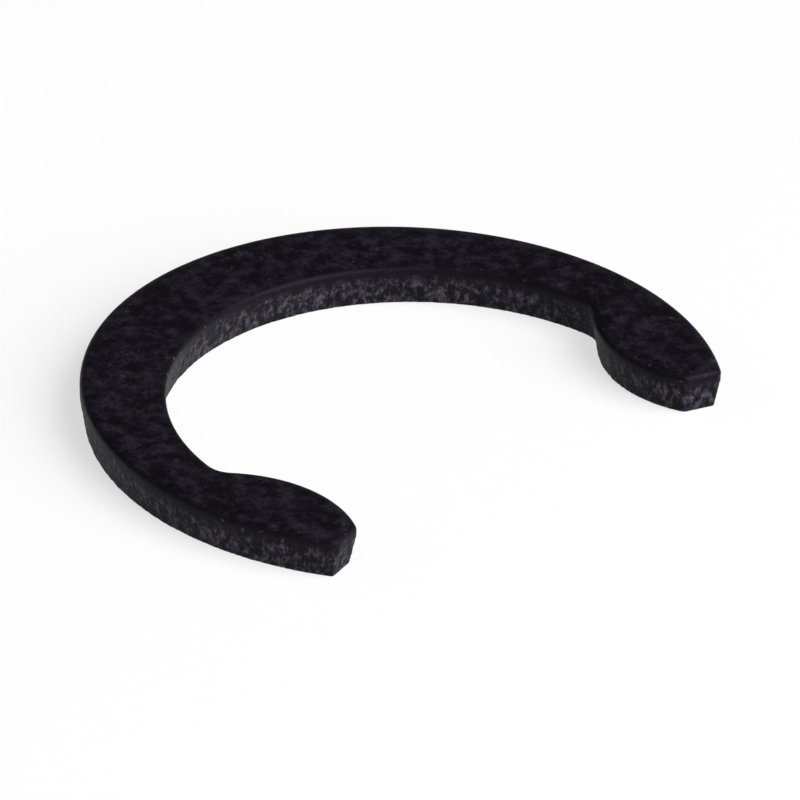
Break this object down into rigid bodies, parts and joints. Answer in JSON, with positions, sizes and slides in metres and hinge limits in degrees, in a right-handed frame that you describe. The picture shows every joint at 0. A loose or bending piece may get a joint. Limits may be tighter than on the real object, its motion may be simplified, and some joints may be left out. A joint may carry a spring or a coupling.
{
  "type": "open retaining clip",
  "caption": "C-shaped spring-steel retaining clip: a flat crescent bow with rounded lugs at its open ends, pushed sideways over a shaft and held in the shaft's groove.",
  "frame": {"origin": "the shaft's axis, in the plane of the clip's underside, which is the smaller face", "axes": "+X out through the mouth on the plan's centre line, +Y towards one lug, +Z through the thickness to the face with the rounded edge"},
  "size_m": [0.0126, 0.016, 0.0011],
  "materials": {
    "blackened_spring_steel": "satin"
  },
  "bodies": {
    "root": {"retaining_clip": "blackened_spring_steel"}
  },
  "joints": []
}
